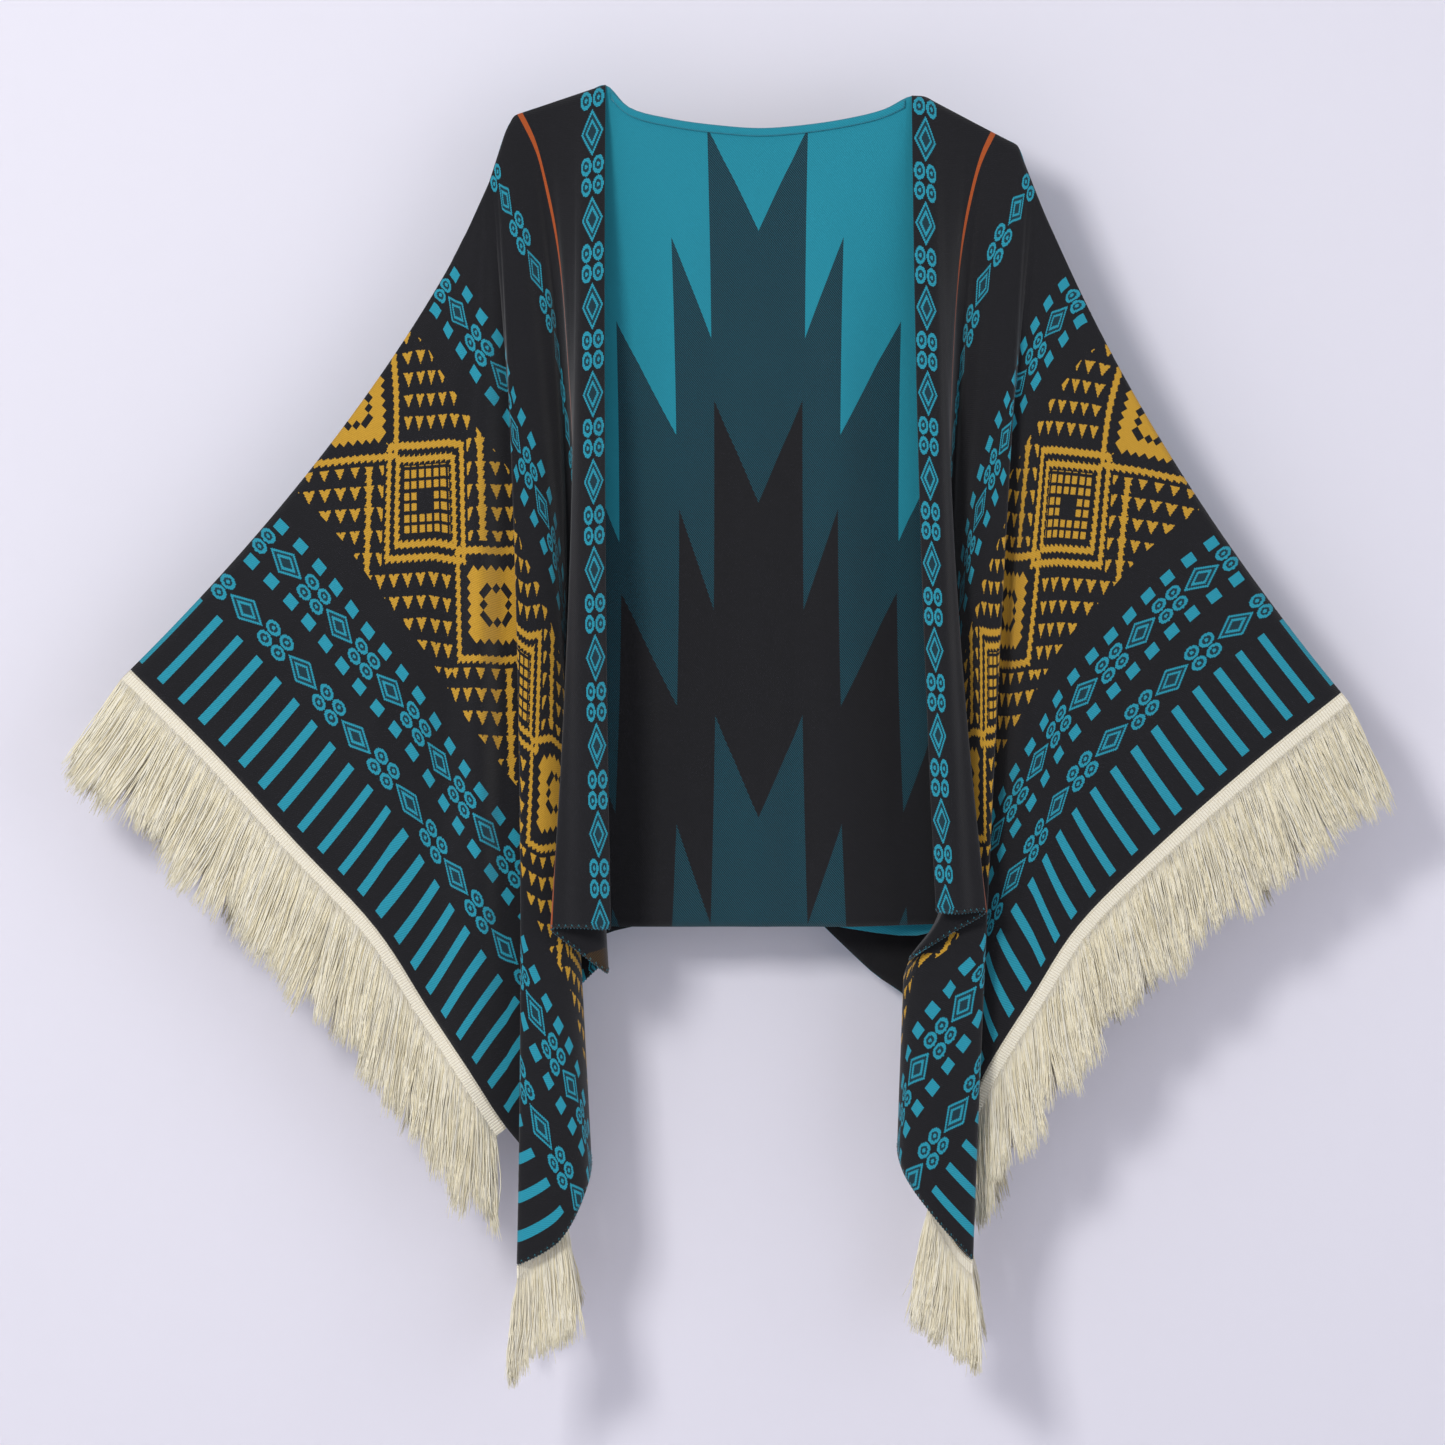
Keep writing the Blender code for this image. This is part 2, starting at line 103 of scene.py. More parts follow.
frontRightFolds = [
    Fold("front edge", 0, 0, 133, -33, 146, -48, -681),
    Fold("border middle", 11, 13, 142, -37, 156, -52, -682),
    Fold("flap crest", 20, 30, 151, -36, 166, -54, -682),
    Fold("flap hollow", 25, 52, 156, -31, 177, -48, -681),
    Fold("flap fold", 30, 76, 159, -27, 187, -45, -681),
    Fold("behind flap", 38, 105, 157, -19, 160, -36, -698),
    Fold("inner turn", 46, 142, 156, -11, 121, -29, -719, -33),
    Fold("inner side", 54, 188, 155, 2, 122, -8, -722, -32),
    Fold("inner back", 62, 235, 156, 13, 134, 15, -728, -20),
    Fold("pleat turn", 68, 310, 162, 16, 181, 19, -790),
    Fold("pleat return", 74, 340, 164, 8, 181, 9, -803),
    Fold("pleat run", 82, 400, 167, 1, 150, 2, -832, -10),
    Fold("tail side", 90, 470, 172, -9, 117, -13, -868, -36),
    Fold("tail ridge", 98, 540, 181, -16, 119, -27, -895, -36),
    Fold("tail middle", 108, 592, 189, -21, 147, -36, -936, -16),
    Fold("tail corner", 118, 650, 196, -22, 176, -31, -968),
    Fold("tail back", 124, 680, 193, -15, 164, -22, -957),
    Fold("valley front", 130, 748, 187, -12, 140, -20, -915),
    Fold("valley back", 136, 762, 187, -5, 139, -10, -908),
    Fold("wing start", 140, 855, 203, -1, 168, -3, -856),
    Fold("wing first wave", 146, 914, 214, -5, 190, -7, -810),
    Fold("wing soft fold", 152, 980, 231, -10, 226, -12, -752),
    Fold("wing second wave", 158, 1053, 248, -12, 264, -15, -693),
    Fold("wing third wave", 166, 1150, 278, -9, 334, -10, -624),
    Fold("wing upper", 177, 1250, 310, -6, 411, -7, -557),
    Fold("shoulder fold", 200, 1345, 352, -foldDepth, 483, -foldDepth, -500),
]

# The back's own folds, from the middle of the back outwards; its wings follow the fronts'
backMiddle = Fold("packing crease", -cut["halfNeck"], -cut["halfNeck"], 0, 20, 0, 18, -695)

backLeftFolds = [
    Fold("inner wave", -100, -95, -27, 23, -31, 22, -695),
    Fold("middle wave", -60, -48, -66, 19, -77, 18, -695),
    Fold("outer wave", -25, -8, -100, 25, -117, 26, -695),
    Fold("under flap", 0, 30, -129, 25, -146, 27, -694),
    Fold("first fold", 14, 62, -150, 30, -168, 33, -694),
    Fold("first return", 28, 110, -149, 40, -142, 42, -696),
    Fold("second fold", 40, 185, -144, 44, -84, 46, -692),
    Fold("second bend", 46, 200, -144, 52, -84, 55, -692),
    Fold("second return", 56, 270, -148, 57, -145, 61, -712),
    Fold("third return", 70, 350, -161, 60, -152, 68, -775),
    Fold("tail side", 84, 440, -178, 55, -158, 63, -845),
    Fold("tail ridge", 98, 550, -188, 47, -153, 53, -895),
    Fold("tail corner", 116, 650, -202, 41, -193, 47, -948),
    Fold("valley front", 126, 748, -192, 34, -167, 34, -909),
    Fold("valley back", 134, 762, -192, 27, -166, 26, -903),
]

backRightFolds = [
    Fold("inner wave", -100, -95, 27, 23, 32, 23, -695),
    Fold("middle wave", -60, -48, 66, 18, 78, 17, -695),
    Fold("outer wave", -25, -8, 100, 25, 118, 26, -694),
    Fold("under flap", 0, 30, 130, 25, 148, 27, -693),
    Fold("first fold", 14, 62, 149, 30, 158, 33, -693),
    Fold("first return", 28, 110, 149, 40, 132, 41, -703),
    Fold("second fold", 40, 185, 143, 44, 52, 46, -693),
    Fold("second bend", 46, 200, 143, 52, 52, 55, -693),
    Fold("second return", 56, 270, 146, 57, 94, 61, -733),
    Fold("third return", 70, 350, 159, 61, 132, 70, -765),
    Fold("tail side", 84, 440, 176, 55, 146, 64, -845),
    Fold("tail ridge", 98, 550, 187, 47, 137, 54, -885),
    Fold("tail corner", 116, 650, 200, 42, 176, 47, -944),
    Fold("valley front", 128, 748, 192, 35, 152, 37, -905),
    Fold("valley back", 136, 762, 192, 27, 152, 29, -899),
]

# A crease is a soft trough, or a ridge where its depth is negative, on the stretch of a panel
# that ends between two places round its edge
Crease = namedtuple("Crease", "fromEdge toEdge xTop zTop xEnd zEnd width depth")

leftCreases = [
    Crease(0, 60, -131, -60, -126, -640, 5, 0.8),
    Crease(760, 1345, -206, -120, -214, -700, 11, 5.0),
    Crease(760, 1345, -236, -250, -226, -780, 9, -3.5),
    Crease(820, 1345, -262, -330, -262, -640, 10, 3.2),
    Crease(900, 1345, -300, -420, -330, -600, 14, -2.6),
    Crease(900, 1345, -350, -380, -420, -560, 16, 2.0),
]
rightCreases = [
    Crease(0, 60, 138, -60, 150, -640, 5, 0.8),
    Crease(760, 1345, 206, -90, 196, -620, 12, 5.0),
    Crease(760, 1345, 232, -200, 214, -760, 9, -3.5),
    Crease(820, 1345, 252, -330, 250, -640, 10, 3.0),
    Crease(900, 1345, 292, -420, 316, -600, 14, -2.4),
]
backCreases = [
    Crease(-130, -60, -7, -170, -7, -692, 1.6, -1.1),
    Crease(-130, 0, -40, -45, -75, -330, 14, 1.6),
    Crease(-130, 0, 44, -45, 80, -350, 14, 1.6),
    Crease(-130, 0, -70, -420, -60, -690, 12, -1.4),
    Crease(-130, 0, 66, -400, 74, -690, 12, -1.4),
    Crease(800, 1345, -300, -260, -360, -620, 16, 3.0),
    Crease(800, 1345, 290, -260, 340, -620, 16, 3.0),
]


def along(points, distance):
    for start, end in zip(points, points[1:]):
        start, end = Vector(start), Vector(end)
        step = (end - start).length
        if distance <= step or points[-1] == tuple(end):
            return start.lerp(end, distance / step)
        distance -= step
    return Vector(points[-1])


def lineLength(points):
    return sum((Vector(b) - Vector(a)).length for a, b in zip(points, points[1:]))


def through(start, middle, end, part):         # the parabola through three values
    return (start * (1 - part) * (1 - 2 * part) + middle * 4 * part * (1 - part)
            + end * part * (2 * part - 1))


def smoothStep(low, high, value):
    part = min(1.0, max(0.0, (value - low) / (high - low)))
    return part * part * (3 - 2 * part)


def topPoint(fold, right, behind):
    depth = foldDepth if behind else -foldDepth
    if fold.shoulder >= 0:
        x, z = along(shoulderRight if right else shoulderLeft, fold.shoulder)
        return Vector((x, depth, z))
    neck = neckRight if right else neckLeft
    part = 1 + fold.shoulder / cut["halfNeck"]
    x, z = along(neck, part * lineLength(neck))
    return Vector((x, depth + cut["neckSag"] * math.cos(part * math.pi / 2) ** 2, z))


def foldPoint(fold, right, behind, part):
    top = topPoint(fold, right, behind)
    z = top.z + (fold.zEnd - top.z) * part
    x = through(top.x, fold.xMid, fold.xEnd - fold.flare, part)
    x += fold.flare * smoothStep(flare["top"], flare["full"], z)
    return Vector((x, through(top.y, fold.yMid, fold.yEnd, part), z))


def spline(before, start, end, after, part):   # centripetal, smooth through start and end
    points = (before, start, end, after)
    knots = [0.0]
    for first, second in zip(points, points[1:]):
        knots.append(knots[-1] + math.sqrt(max((second - first).length, 1e-6)))
    at = knots[1] + (knots[2] - knots[1]) * part

    def mix(p, q, low, high):
        return p.lerp(q, (at - low) / (high - low))

    first = [mix(points[i], points[i + 1], knots[i], knots[i + 1]) for i in range(3)]
    second = [mix(first[i], first[i + 1], knots[i], knots[i + 2]) for i in range(2)]
    return mix(second[0], second[1], knots[1], knots[2])


def across(points, cuts):
    ends = [2 * points[0] - points[1]] + points + [2 * points[-1] - points[-2]]
    curve = []
    for i in range(len(points) - 1):
        curve += [spline(*ends[i:i + 4], step / cuts) for step in range(cuts)]
    return curve + [points[-1]]


def frontFolds(right):
    table = frontRightFolds if right else frontLeftFolds
    return [(fold, right, False) for fold in table]


def backWing(fold):                            # the back's wing hangs a little inside the front's
    openPart = min(1.0, (cut["run"] + cut["drop"] - fold.edge) / wing["openDrop"])
    if openPart == 0:
        return fold._replace(yMid=foldDepth, yEnd=foldDepth)
    spacing = wing["open"] * openPart ** 0.6
    return fold._replace(yMid=fold.yMid + spacing, yEnd=fold.yEnd + spacing,
                         zEnd=fold.zEnd + wing["inset"] * openPart)


def backSide(right):
    own = backRightFolds if right else backLeftFolds
    front = frontRightFolds if right else frontLeftFolds
    return [(fold, right, True) for fold in own + [backWing(f) for f in front[-wing["folds"]:]]]


def backFolds():
    return backSide(False)[::-1] + [(backMiddle, True, True)] + backSide(True)


def clothPlaces(folds, cuts):                  # for each column: start, edge and side
    places = []
    for (first, right, behind), (second, *_) in zip(folds, folds[1:]):
        for step in range(cuts):
            part = step / cuts
            places.append((first.shoulder + (second.shoulder - first.shoulder) * part,
                           first.edge + (second.edge - first.edge) * part, right))
    return places + [(folds[-1][0].shoulder, folds[-1][0].edge, folds[-1][1])]


def cutPoint(shoulder, edge, top, part):       # the same point on the flat cut
    start = max(0.0, -top) if shoulder < 0 else 0.0
    if edge <= cut["run"]:
        end = (edge, cut["drop"])
    else:
        end = (cut["run"], cut["drop"] - (edge - cut["run"]))
    return shoulder + (end[0] - shoulder) * part, start + (end[1] - start) * part


def creaseDepth(point, edge, creases):
    total = 0.0
    for crease in creases:
        if not crease.fromEdge <= edge <= crease.toEdge:
            continue
        start = Vector((crease.xTop, crease.zTop))
        run = Vector((crease.xEnd, crease.zEnd)) - start
        here = Vector((point.x, point.z)) - start
        part = min(1.0, max(0.0, here.dot(run) / run.length_squared))
        gap = (here - run * part).length / crease.width
        total += crease.depth * math.exp(-gap * gap) * math.sin(math.pi * part) ** 0.6
    return total


def softWaves(point, behind):                  # the small unevenness of hanging cloth
    place = Vector((point.x, 40.0 * behind, point.z))
    return 1.3 * noise.noise(place / 62) + 0.5 * noise.noise(place / 23)


def panelPoints(folds, cuts, creases, behind):
    places = clothPlaces(folds, cuts)
    levels = cut["levels"]
    rows, cutRows = [], []
    tops = across([foldPoint(*fold, 0.0) for fold in folds], cuts)
    for level in range(levels + 1):
        part = level / levels
        row = across([foldPoint(*fold, part) for fold in folds], cuts)
        flat = []
        for index, (point, (shoulder, edge, right)) in enumerate(zip(row, places)):
            still = smoothStep(0.0, 0.08, part) * smoothStep(1.0, 0.97, part)
            if edge > 1250:
                still *= smoothStep(1345, 1250, edge)
            side = 1 if behind else -1
            point.y += still * (creaseDepth(point, edge, creases) * -side
                                + softWaves(point, behind))
            a, b = cutPoint(shoulder, edge, tops[index].z, part)
            if behind:
                a = (a + cut["halfNeck"]) * (1 if right else -1)
            flat.append((a * mm, b * mm))
        rows.append(row)
        cutRows.append(flat)
    return rows, cutRows


def sheetMesh(name, rows, flatRows, turned):
    shape = bmesh.new()
    down, wide = len(rows), len(rows[0])
    bmesh.ops.create_grid(shape, x_segments=wide - 1, y_segments=down - 1, size=0.5)
    shape.verts.ensure_lookup_table()
    for index, vert in enumerate(shape.verts):
        vert.co = rows[index // wide][index % wide] * mm
    layer = shape.loops.layers.uv.new("cloth")
    for face in shape.faces:
        face.smooth = True
        for loop in face.loops:
            index = loop.vert.index
            loop[layer].uv = flatRows[index // wide][index % wide]
    if turned:
        bmesh.ops.reverse_faces(shape, faces=shape.faces[:])
    mesh = bpy.data.meshes.new(name)
    shape.to_mesh(mesh)
    shape.free()
    return mesh


def addPiece(name, mesh, paints):
    piece = bpy.data.objects.new(name, mesh)
    bpy.context.scene.collection.objects.link(piece)
    for paint in paints:
        mesh.materials.append(paint)
    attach(piece, "root")
    return piece


def thicken(piece, wall, inner=0):
    solid = piece.modifiers.new("wall", "SOLIDIFY")
    solid.thickness = wall * mm
    solid.offset = 0.0
    solid.use_even_offset = False
    solid.material_offset = inner


# Shader arithmetic
class Value:
    def __init__(self, paint, link):
        self.paint = paint
        self.link = link

    def __add__(self, other):
        return self.paint.math("ADD", self, other)

    def __radd__(self, other):
        return self.paint.math("ADD", other, self)

    def __sub__(self, other):
        return self.paint.math("SUBTRACT", self, other)

    def __rsub__(self, other):
        return self.paint.math("SUBTRACT", other, self)

    def __mul__(self, other):
        return self.paint.math("MULTIPLY", self, other)

    def __rmul__(self, other):
        return self.paint.math("MULTIPLY", other, self)

    def __truediv__(self, other):
        return self.paint.math("DIVIDE", self, other)

    def __rtruediv__(self, other):
        return self.paint.math("DIVIDE", other, self)

    def __mod__(self, other):
        return self.paint.math("FLOORED_MODULO", self, other)

    def __abs__(self):
        return self.paint.math("ABSOLUTE", self)

    def __lt__(self, other):
        return self.paint.math("LESS_THAN", self, other)

    def __gt__(self, other):
        return self.paint.math("GREATER_THAN", self, other)

    def __and__(self, other):
        return self.paint.math("MINIMUM", self, other)

    def __or__(self, other):
        return self.paint.math("MAXIMUM", self, other)


class Paint:
    def __init__(self, name, roughness, sheen=0.0):
        self.material = bpy.data.materials.new(name)
        self.material.use_nodes = True
        self.tree = self.material.node_tree
        self.shader = self.tree.nodes["Principled BSDF"]
        self.shader.inputs["Roughness"].default_value = roughness
        self.shader.inputs["Sheen Weight"].default_value = sheen
        self.shader.inputs["Sheen Roughness"].default_value = 0.55
        self.shader.inputs["Specular IOR Level"].default_value = 0.22

    def node(self, kind, settings, sockets):
        made = self.tree.nodes.new(kind)
        for key, value in settings.items():
            if key == "stops":
                self.setStops(made.color_ramp, value)
            else:
                setattr(made, key, value)
        for key, value in sockets.items():
            self.feed(made.inputs[key], value)
        return made

    def setStops(self, ramp, stops):
        while len(ramp.elements) < len(stops):
            ramp.elements.new(1.0)
        for element, (place, colour) in zip(ramp.elements, stops):
            element.position = place
            element.color = colour if isinstance(colour, tuple) else (colour, colour, colour, 1)

    def feed(self, socket, value):
        if isinstance(value, Value):
            self.tree.links.new(value.link, socket)
        else:
            socket.default_value = value

    def math(self, operation, *inputs):
        made = self.node("ShaderNodeMath", {"operation": operation}, dict(enumerate(inputs)))
        return Value(self, made.outputs[0])

    def blend(self, factor, first, second):    # colours
        made = self.node("ShaderNodeMix", {"data_type": "RGBA"}, {0: factor, 6: first, 7: second})
        return Value(self, made.outputs[2])

    def clothPlace(self):                      # millimetres on the flat cut
        place = self.node("ShaderNodeUVMap", {"uv_map": "cloth"}, {})
        parts = self.node("ShaderNodeSeparateXYZ", {}, {0: Value(self, place.outputs[0])})
        return Value(self, parts.outputs[0]) * 1000, Value(self, parts.outputs[1]) * 1000

    def grain(self, scale, detail=2.0):
        place = self.node("ShaderNodeTexCoord", {}, {})
        made = self.node("ShaderNodeTexNoise", {}, {"Vector": Value(self, place.outputs["Object"]),
                                                    "Scale": scale, "Detail": detail})
        return Value(self, made.outputs[0])

    def snap(self, value, step):
        return self.math("SNAP", value, step)

    def within(self, value, low, high):
        return (value > low) & (value < high)

    def nearest(self, value, places):          # distance to the nearest of some places
        gaps = [abs(value - place) for place in places]
        found = gaps[0]
        for gap in gaps[1:]:
            found = found & gap
        return found

    def finish(self, colour, height=None, strength=0.3, distance=0.0006):
        self.feed(self.shader.inputs["Base Color"], colour)
        if height is not None:
            bump = self.node("ShaderNodeBump", {}, {"Height": height, "Strength": strength,
                                                    "Distance": distance})
            self.feed(self.shader.inputs["Normal"], Value(self, bump.outputs[0]))
        return self.material


def shade(code, light=1.0):                    # a web colour as Blender's linear one
    parts = [int(code[i:i + 2], 16) / 255 for i in (0, 2, 4)]
    return tuple(light * (p / 12.92 if p < 0.04045 else ((p + 0.055) / 1.055) ** 2.4)
                 for p in parts) + (1.0,)


colours = {
    "black": shade("0B0B0F"),
    "blackLit": shade("15151A"),
    "teal": shade("259CB3"),
    "tealDeep": shade("0F5A6B"),
    "tealBright": shade("1C99AE"),
    "gold": shade("CF9F30"),
    "goldDeep": shade("8A6316"),
    "rust": shade("A94E1E"),
    "grey": shade("8C8C8A"),
    "cream": shade("FCF8EA"),
    "creamDeep": shade("F0E3B8"),
    "wall": shade("EBE9F3"),
    "floor": shade("E6E5EA"),
}

# The woven pattern on the outer face of the fronts, in millimetres on the flat cut
weave = {
    "stitch": 0.9,
    "repeat": 72.6,                            # one diamond and its curls
    "chains": (11.5, 130, 240, 505, 554),      # middles of the chains
    "bands": (240, 505),                       # chains with blocks at both sides
    "blockFrom": 14.0,
    "blockTo": 23.0,
    "blockLength": 12.0,
    "rust": 75.0,
    "rustWidth": 4.6,
    "gold": (287, 457),
    "stripes": (573, 641),
    "stripeWidth": 7.7,
}


chain = {
    "diamond": (9.8, 19.6),                    # half its width and height
    "lines": ((0.82, 1.0), (0.40, 0.60)),      # its two outlines, as shares of that
    "curlAt": (5.4, 27.8),                     # from the diamond's middle
    "curl": (4.9, 7.8),
    "curlLine": (0.58, 1.0),
    "curlEye": 0.26,
}
heart = {
    "half": 5.6,                               # from its middle down to its point
    "top": 5.2,
    "slope": 0.52,
    "notch": -3.6,
    "notchSlope": 0.8,
}


def chainMask(paint, fromMiddle, b):
    repeat = weave["repeat"]
    v = abs(b % repeat - repeat / 2)
    diamond = fromMiddle / chain["diamond"][0] + v / chain["diamond"][1]
    outer, inner = chain["lines"]
    rings = paint.within(diamond, *outer) | paint.within(diamond, *inner)
    wide = (fromMiddle - chain["curlAt"][0]) / chain["curl"][0]
    high = (v - chain["curlAt"][1]) / chain["curl"][1]
    curl = paint.math("SQRT", wide * wide + high * high)
    curls = paint.within(curl, *chain["curlLine"]) | (curl < chain["curlEye"])
    inside = (diamond < outer[0]) | (curl < chain["curlLine"][0])
    return rings | curls, inside


def heartMask(paint, q, p, wide, high):
    aside = abs(q % wide - wide / 2)
    down = p % high - high / 2
    body = aside < (heart["half"] - down) * heart["slope"]
    notch = aside < (heart["notch"] - down) * heart["notchSlope"]
    return body * paint.within(down, -heart["top"], heart["half"]) * (1 - notch)


goldWork = {
    "toothPitch": 4.5,
    "tooth": (0.9, 1.0),                       # how steep the serration is, and how deep
    "frames": (33.0, 43.5),
    "line": 2.6,                               # half a line's width
    "dotPitch": 8.6,
    "dot": 2.9,
    "dotsWithin": (8.6, 27.6),
    "step": 6.0,
    "medallion": (17.0, 31.0),
    "medallionEye": 6.5,
    "ring": 41.0,
    "heartPitch": (14.6, 17.4),
    "heartsFrom": (50.0, 48.0),                # clear of the frames and of the medallions
    "bar": 66.0,
    "barLine": 2.8,
}


def goldMask(paint, a, b):                     # a generic layout of frames, hearts and steps
    low, high = weave["gold"]
    repeat = 3 * weave["repeat"]
    middle = (low + high) / 2
    aHere = a - middle
    bHere = b % repeat - repeat / 2            # from the middle of a framed square
    bOther = (b + repeat / 2) % repeat - repeat / 2
    half = math.sqrt(0.5)
    pitch = goldWork["toothPitch"]
    slope, depth = goldWork["tooth"]
    tooth = abs(b % pitch - pitch / 2) * slope - depth
    p = (aHere + bHere) * half
    q = (bHere - aHere) * half
    square = abs(p) | abs(q)
    line = (paint.nearest(square, goldWork["frames"]) + tooth) < goldWork["line"]
    dot = goldWork["dotPitch"]
    dotsAt = abs((p % dot) - dot / 2) | abs((q % dot) - dot / 2)
    dots = (dotsAt < goldWork["dot"]) * paint.within(square, *goldWork["dotsWithin"])
    p2 = (aHere + bOther) * half
    q2 = (bOther - aHere) * half
    square2 = abs(p2) | abs(q2)
    steps = paint.snap(abs(aHere), goldWork["step"]) + paint.snap(abs(bOther), goldWork["step"])
    medallion = paint.within(steps, *goldWork["medallion"]) | (steps < goldWork["medallionEye"])
    ring = (abs(square2 - goldWork["ring"]) + tooth) < goldWork["line"]
    fromFrame, fromMedallion = goldWork["heartsFrom"]
    hearts = heartMask(paint, q, p, *goldWork["heartPitch"])
    hearts = hearts * (square > fromFrame) * (square2 > fromMedallion)
    barred = (((abs(abs(q) - goldWork["bar"]) + tooth) < goldWork["barLine"])
              * (square2 > fromMedallion))
    return (line | dots | (medallion | ring) | hearts | barred) * paint.within(a, low, high)


def jacquard():
    paint = Paint("jacquard", 0.86, sheen=0.25)
    aFine, bFine = paint.clothPlace()
    a = paint.snap(aFine, weave["stitch"]) + weave["stitch"] / 2
    b = paint.snap(bFine, weave["stitch"]) + weave["stitch"] / 2
    third = weave["repeat"] / 3
    chains, inside = chainMask(paint, paint.nearest(a, weave["chains"]), b)
    fromBand = paint.nearest(a, weave["bands"])
    blocks = (paint.within(fromBand, weave["blockFrom"], weave["blockTo"])
              * (abs(b % third - third / 2) < weave["blockLength"] / 2))
    stripes = (paint.within(a, *weave["stripes"])
               * (abs((b + third / 2) % third - third / 2) < weave["stripeWidth"] / 2))
    teal = chains | blocks | stripes
    rust = abs(a - weave["rust"]) < weave["rustWidth"] / 2
    gold = goldMask(paint, a, b)

    dash = abs((aFine * 0.5 + bFine) % 1.8 - 0.9)          # floats of the pattern yarn
    fleck = (dash < 0.22) * 0.45
    soft = paint.grain(9.0)
    fuzz = paint.grain(900.0)
    ground = paint.blend(soft * 0.6 + fuzz * 0.4, colours["black"], colours["blackLit"])
    ground = paint.blend(inside * 0.28, ground, colours["tealDeep"])
    tealYarn = paint.blend(fleck + fuzz * 0.25, colours["teal"], colours["tealDeep"])
    goldYarn = paint.blend(fleck + fuzz * 0.3, colours["gold"], colours["goldDeep"])
    colour = paint.blend(teal, ground, tealYarn)
    colour = paint.blend(gold, colour, goldYarn)
    colour = paint.blend(rust, colour, colours["rust"])
    figure = teal | gold | rust
    height = figure * 0.5 + dash * 0.5 + fuzz * 0.5
    return paint.finish(colour, height, 0.45, 0.0005)


# The inner face of the back: three zigzag edges, each stepping down from the middle outwards
spikes = {
    "edges": ((0, 116), (41.5, 29), (41.6, 207), (74.7, 118), (74.8, 286), (128, 189),
              (128.1, 375), (172, 282), (172.1, 462), (230, 366), (230.1, 548), (300, 452)),
    "reach": 400.0,
    "depth": 700.0,
    "steps": (0.0, 226.0, 488.0),              # how far down each zigzag lies
    "twill": 2.2,
    "plainFrom": 232.0,                        # black from here out
}


def twillLines(paint, a, b):
    return abs((b - a * 1.15) / spikes["twill"] % 1.0 - 0.5) * 2


def insideBack():
    paint = Paint("inside_back", 0.85, sheen=0.3)
    a, b = paint.clothPlace()
    out = abs(a)
    stops = [(place / spikes["reach"], depth / spikes["depth"]) for place, depth in spikes["edges"]]
    ramp = paint.node("ShaderNodeValToRGB", {"stops": stops}, {0: out / spikes["reach"]})
    edge = Value(paint, ramp.outputs[0]) * spikes["depth"]
    below = b - edge
    dark, black, darkAgain = [below > step for step in spikes["steps"]]
    black = black | (out > spikes["plainFrom"])
    darkAgain = darkAgain * (out < spikes["plainFrom"])
    twill = twillLines(paint, a, b)
    fuzz = paint.grain(900.0)
    soft = paint.grain(7.0)
    bright = paint.blend(twill * 0.5 + fuzz * 0.2, colours["tealBright"], colours["tealDeep"])
    mixed = paint.blend((twill > 0.55) * 0.75 + soft * 0.1, colours["black"], colours["tealDeep"])
    plain = paint.blend(twill * 0.5 + fuzz * 0.3, colours["black"], colours["blackLit"])
    colour = paint.blend(dark, bright, mixed)
    colour = paint.blend(black, colour, plain)
    colour = paint.blend(darkAgain, colour, mixed)
    return paint.finish(colour, twill * 0.6 + fuzz * 0.6, 0.5, 0.0005)


def turnedHem():
    paint = Paint("turned_hem", 0.85, sheen=0.3)
    a, b = paint.clothPlace()
    twill = twillLines(paint, a, b)
    fuzz = paint.grain(900.0)
    colour = paint.blend(twill * 0.5 + fuzz * 0.2, colours["tealBright"], colours["tealDeep"])
    return paint.finish(colour, twill * 0.6 + fuzz * 0.6, 0.5, 0.0005)


flames = {
    "pitch": 121.0,
    "step": 8.0,
    "steep": 1.3,
    "repeat": 232.0,
    "teal": (0.0, 74.0),
    "rust": (96.0, 108.0),
    "grey": (128.0, 140.0),
    "gold": (160.0, 190.0),
    "reach": 470.0,                            # from the neck point out to the bands
    "chains": (505, 554),
    "band": 505,
}


